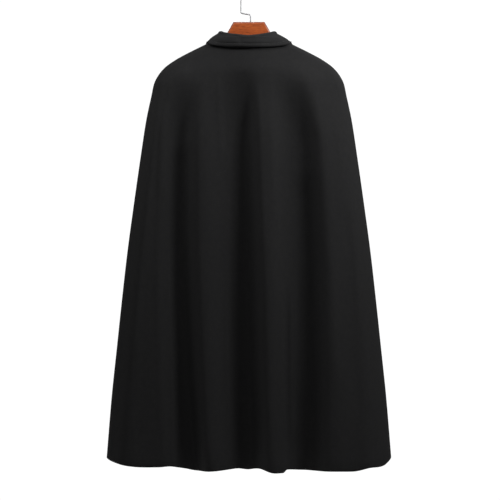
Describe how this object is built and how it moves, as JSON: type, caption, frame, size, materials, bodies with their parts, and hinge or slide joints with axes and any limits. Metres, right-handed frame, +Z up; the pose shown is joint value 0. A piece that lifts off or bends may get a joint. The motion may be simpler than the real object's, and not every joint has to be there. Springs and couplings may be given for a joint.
{
  "type": "poncho on a clothes hanger",
  "caption": "Long sleeveless wool poncho with a turned-down collar and a closed front, hanging in soft folds on a flat wooden clothes hanger with a round wire hook.",
  "frame": {"origin": "where a rail bears inside the top of the wire hook", "axes": "+Z up along the garment's length; +Y square to the flat hanger, out of the closed front, so the wearer's back, which the picture shows, faces -Y; +X to the wearer's right, along the hanger"},
  "size_m": [0.6768, 0.2328, 1.1395],
  "materials": {
    "cloth": "matt black milled wool with a short nap",
    "collar_cloth": "matt black milled wool, two layers",
    "button": "black, half gloss",
    "hanger_wood": "orange-brown varnish, glossy",
    "hook_wire": "plain bright wire"
  },
  "bodies": {
    "root": {"back": "cloth", "front_left": "cloth", "front_right": "cloth", "collar": "collar_cloth", "button": "button", "hanger": "hanger_wood", "hook": "hook_wire"}
  },
  "joints": []
}
